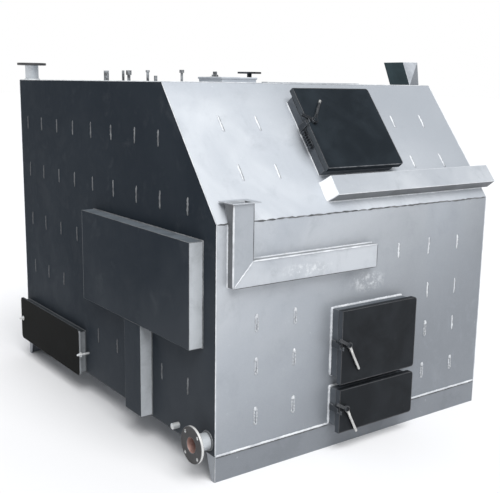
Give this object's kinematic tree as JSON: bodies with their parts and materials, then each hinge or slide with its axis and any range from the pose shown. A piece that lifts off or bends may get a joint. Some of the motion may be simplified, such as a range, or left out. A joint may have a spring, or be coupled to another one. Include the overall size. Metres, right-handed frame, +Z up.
{
  "type": "industrial boiler",
  "caption": "Welded water-jacketed boiler with a sloped front, hinged loading, fire and ash doors with latches, air ducts, a side hatch and flanged water connections.",
  "frame": {"origin": "centre of the whole part's box in plan, at floor level", "axes": "+X to the right as one faces the doors, +Y to the rear, +Z up"},
  "size_m": [2.155, 2.718, 2.148],
  "materials": {
    "silver_paint": "silver paint, satin, over welded plate",
    "graphite_paint": "dark grey paint, satin",
    "black_paint": "heat-proof black paint, matt",
    "furnace_plate": "bare plate with rust and soot",
    "grate_iron": "rough cast iron",
    "lining": "heat-proof insulating board, matt",
    "bare_steel": "bright bare metal",
    "fitting_paint": "dark paint with bare and rusty edges"
  },
  "bodies": {
    "boiler": {"base_skirts": "silver_paint", "skid_beams": "silver_paint", "base_gussets": "silver_paint", "floor_plate": "silver_paint", "left_wall": "graphite_paint", "right_wall": "silver_paint", "rear_wall": "silver_paint", "top_plate": "silver_paint", "front_wall_left": "silver_paint", "front_wall_right": "silver_paint", "front_wall_bands": "silver_paint", "slope_left": "silver_paint", "slope_right": "silver_paint", "slope_bands": "silver_paint", "furnace_sides": "furnace_plate", "furnace_front_sides": "furnace_plate", "furnace_front_bands": "furnace_plate", "furnace_crown": "furnace_plate", "fire_bridge": "furnace_plate", "grate": "grate_iron", "fire_frame": "black_paint", "ash_frame": "black_paint", "load_frame": "black_paint", "door_ears": "black_paint", "latch_keepers": "black_paint", "front_air_duct": "silver_paint", "slope_air_duct": "silver_paint", "side_air_box": "graphite_paint", "side_air_duct": "graphite_paint", "hatch_frame": "graphite_paint", "hatch_cover": "black_paint", "return_flange": "fitting_paint", "supply_flange": "fitting_paint", "pipe_nipples": "fitting_paint", "top_hatch": "silver_paint", "top_disc": "fitting_paint", "top_strip": "silver_paint", "air_stub": "silver_paint", "flue_collar": "silver_paint"},
    "fire_door": {"fire_door": "black_paint", "fire_lining": "lining"},
    "fire_latch": {"fire_latch": "black_paint", "fire_grip": "bare_steel"},
    "ash_door": {"ash_door": "black_paint"},
    "ash_latch": {"ash_latch": "black_paint", "ash_grip": "bare_steel"},
    "load_door": {"load_door": "black_paint", "load_lining": "lining"},
    "load_latch": {"load_latch": "black_paint", "load_grip": "bare_steel"}
  },
  "joints": [
    {"name": "fire_door_hinge", "type": "hinge", "parent": "boiler", "child": "fire_door", "pos_m": [0.3255, -1.283, 0.617], "axis": [0, 0, 1], "range_deg": [0, 100]},
    {"name": "fire_latch_pivot", "type": "hinge", "parent": "fire_door", "child": "fire_latch", "pos_m": [-0.1775, -1.341, 0.617], "axis": [0, -1, 0], "range_deg": [0, 30]},
    {"name": "ash_door_hinge", "type": "hinge", "parent": "boiler", "child": "ash_door", "pos_m": [0.3255, -1.283, 0.253], "axis": [0, 0, 1], "range_deg": [0, 100]},
    {"name": "ash_latch_pivot", "type": "hinge", "parent": "ash_door", "child": "ash_latch", "pos_m": [-0.1775, -1.341, 0.253], "axis": [0, -1, 0], "range_deg": [0, 30]},
    {"name": "load_door_hinge", "type": "hinge", "parent": "boiler", "child": "load_door", "pos_m": [0.3255, -0.98414, 1.72946], "axis": [0, 0.6131, 0.79], "range_deg": [0, 100]},
    {"name": "load_latch_pivot", "type": "hinge", "parent": "load_door", "child": "load_latch", "pos_m": [-0.1775, -0.9993, 1.80452], "axis": [0, -0.79, 0.6131], "range_deg": [0, 30]}
  ]
}
